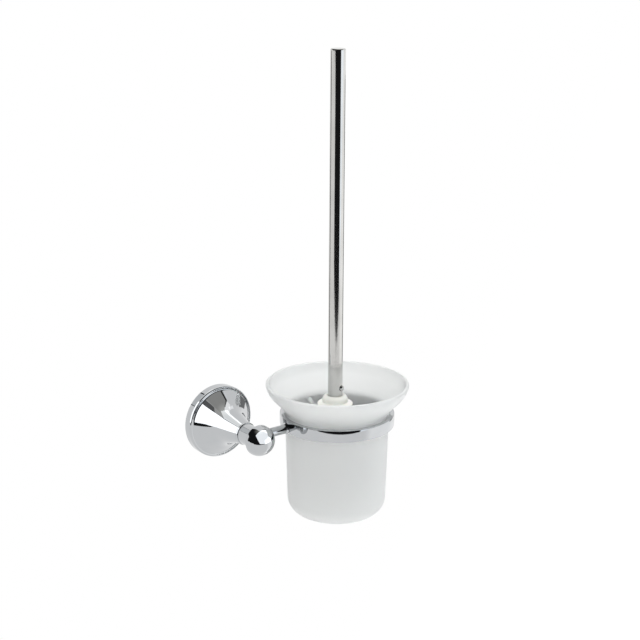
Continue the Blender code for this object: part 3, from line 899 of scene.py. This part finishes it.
def make_world():
    """A white studio that is dark in front, and plain white to the camera itself."""
    world = bpy.data.worlds.new("studio")
    bpy.context.scene.world = world
    world.use_nodes = True
    tree = world.node_tree
    direction = tree.nodes.new("ShaderNodeSeparateXYZ")
    tree.links.new(tree.nodes.new("ShaderNodeTexCoord").outputs["Generated"], direction.inputs[0])
    x, y, z = direction.outputs
    rise = math_node(tree, "MULTIPLY", math_node(tree, "ARCSINE", z), math.degrees(1.0))
    forward = math_node(tree, "MULTIPLY", y, -1.0)
    turn = math_node(tree, "MULTIPLY", math_node(tree, "ARCTAN2", x, forward), math.degrees(1.0))
    # Above head height the dark part reaches further round on both sides
    high = step_up(tree, rise, 12.0, 28.0)
    longer = math_node(tree, "MULTIPLY", step_up(tree, rise, 20.0, 26.0), 60.0)
    shorter = math_node(tree, "MULTIPLY", step_up(tree, rise, -3.0, -7.0),
                        DARK_LEFT - DARK_LEFT_LOW)
    reach = math_node(tree, "ADD", longer, shorter)
    left = step_up(tree, math_node(tree, "ADD", turn, reach), DARK_LEFT - 3.0, DARK_LEFT + 3.0)
    wider = math_node(tree, "MULTIPLY", high, DARK_RIGHT - DARK_RIGHT_HIGH)
    right = step_up(tree, math_node(tree, "ADD", turn, wider), DARK_RIGHT + 2.0, DARK_RIGHT - 2.0)
    dark = math_node(tree, "MULTIPLY", left, right)
    room = mixed(tree, step_up(tree, rise, 55.0, 85.0), DARK_ROOM, DIM_CEILING)
    panel = mixed(tree, step_up(tree, turn, 40.0, 70.0), BLUE_PANEL, WHITE)
    back = math_node(tree, "MAXIMUM", step_up(tree, turn, 95.0, 120.0),
                     step_up(tree, turn, 0.0, -5.0))
    light = mixed(tree, back, panel, WHITE)
    around = mixed(tree, dark, light, room)
    seen = tree.nodes.new("ShaderNodeLightPath").outputs["Is Camera Ray"]
    final = mixed(tree, seen, around, WHITE)
    background = tree.nodes["Background"]
    tree.links.new(final, background.inputs["Color"])


def make_floor():
    """The white table: it ends in a straight front edge, with the dark room beyond."""
    heading = math.radians(TABLE_HEADING)
    front = Vector((math.sin(heading), -math.cos(heading), 0.0))
    side = Vector((math.cos(heading), math.sin(heading), 0.0))
    centre = Vector((cup_axis.translation.x, cup_axis.translation.y, TABLE_Z))
    near = centre + front * TABLE_FRONT
    far = centre - front * TABLE_BACK
    half = side * TABLE_HALF
    bm = bmesh.new()
    corners = [near - half, near + half, far + half, far - half]
    bm.faces.new([bm.verts.new(corner) for corner in corners])
    floor = stage("floor", bm, 1.0)
    tree = floor.data.materials[0].node_tree
    place = tree.nodes.new("ShaderNodeSeparateXYZ")
    tree.links.new(tree.nodes.new("ShaderNodeTexCoord").outputs["Object"], place.inputs[0])
    across = math_node(tree, "SUBTRACT", place.outputs["X"], centre.x)
    out = math_node(tree, "SUBTRACT", centre.y, place.outputs["Y"])
    turn = math_node(tree, "MULTIPLY", math_node(tree, "ARCTAN2", across, out), math.degrees(1.0))
    brighter = math_node(tree, "MULTIPLY", step_up(tree, turn, 14.0, 34.0), TABLE_EXTRA)
    brighter = math_node(tree, "MULTIPLY", brighter, step_up(tree, turn, 130.0, 90.0))
    glow = math_node(tree, "ADD", brighter, 1.0)
    tree.links.new(glow, tree.nodes["Emission"].inputs["Strength"])


def stage(name, bm, strength):
    """Put a glowing white or grey card into the studio."""
    mesh = bpy.data.meshes.new(name)
    bm.to_mesh(mesh)
    bm.free()
    material = bpy.data.materials.new(name)
    material.use_nodes = True
    tree = material.node_tree
    tree.nodes.clear()
    glow = tree.nodes.new("ShaderNodeEmission")
    glow.inputs["Color"].default_value = WHITE
    glow.inputs["Strength"].default_value = strength
    output = tree.nodes.new("ShaderNodeOutputMaterial")
    tree.links.new(glow.outputs[0], output.inputs["Surface"])
    mesh.materials.append(material)
    card = bpy.data.objects.new(name, mesh)
    bpy.context.scene.collection.objects.link(card)
    return card


def make_flag(name, heading, distance, width, top, level):
    """A dark upright card that draws a thin line down the tube's edge."""
    turn = math.radians(heading)
    away = Vector((math.sin(turn), -math.cos(turn), 0.0))
    side = Vector((away.y, -away.x, 0.0)) * width / 2
    foot = cup_axis.translation + away * distance
    bm = bmesh.new()
    corners = []
    for reach, height in ((-1.0, TABLE_Z), (1.0, TABLE_Z), (1.0, top), (-1.0, top)):
        corners.append(foot + side * reach + Vector((0.0, 0.0, height)))
    bm.faces.new([bm.verts.new(corner) for corner in corners])
    stage(name, bm, level).visible_camera = False


def make_light(lit, name, heading, rise, distance, width, height, radiance, tint):
    """A softbox that lights the named pieces only, and isn't seen by the camera."""
    turn = math.radians(heading)
    lift = math.radians(rise)
    away = Vector((math.sin(turn) * math.cos(lift), -math.cos(turn) * math.cos(lift),
                   math.sin(lift)))
    centre = Vector(LIGHT_AIM) + away * distance
    data = bpy.data.lights.new(name, "AREA")
    data.shape = "RECTANGLE"
    data.size = width
    data.size_y = height
    data.energy = radiance * math.pi * width * height
    data.color = tint
    light = bpy.data.objects.new(name, data)
    light.matrix_world = at(centre) @ away.to_track_quat("Z", "Y").to_matrix().to_4x4()
    light.visible_camera = False
    bpy.context.scene.collection.objects.link(light)
    receivers = bpy.data.collections.new(name + "_lights")
    for piece in lit:
        receivers.objects.link(bpy.data.objects[piece])
    light.light_linking.receiver_collection = receivers


def main():
    bright = chrome()
    hidden = zinc()
    steel = stainless()
    plastic = white_plastic()
    nylon = bristle_nylon()
    make_rose(bright)
    make_collar(bright)
    make_boss(bright)
    make_cap(bright)
    make_arm(bright)
    make_ring(bright)
    make_braze(bright)
    make_glass(frosted_glass())
    make_tube(steel)
    make_core(plastic)
    make_tufts(nylon)
    make_stray(nylon)
    make_button(steel)
    for node in HIDDEN_NODES:
        frame["nodes"][node].data.materials.clear()
        frame["nodes"][node].data.materials.append(hidden)
    make_camera()
    make_world()
    make_floor()
    for name, card in FLAGS.items():
        make_flag(name, *card)
    soft = ["cup_glass", "brush_head", "tufts_end", "tuft_combed_up"]
    soft += [f"tufts_{row + 1}" for row in range(len(row_heights()))]
    for lights, lit in ((FITTING_LIGHTS, FITTING), (CAP_LIGHTS, ["dome_cap"]), (SOFT_LIGHTS, soft)):
        for name, softbox in lights.items():
            make_light(lit, name, *softbox)
    bpy.context.scene.view_settings.view_transform = "Standard"


main()
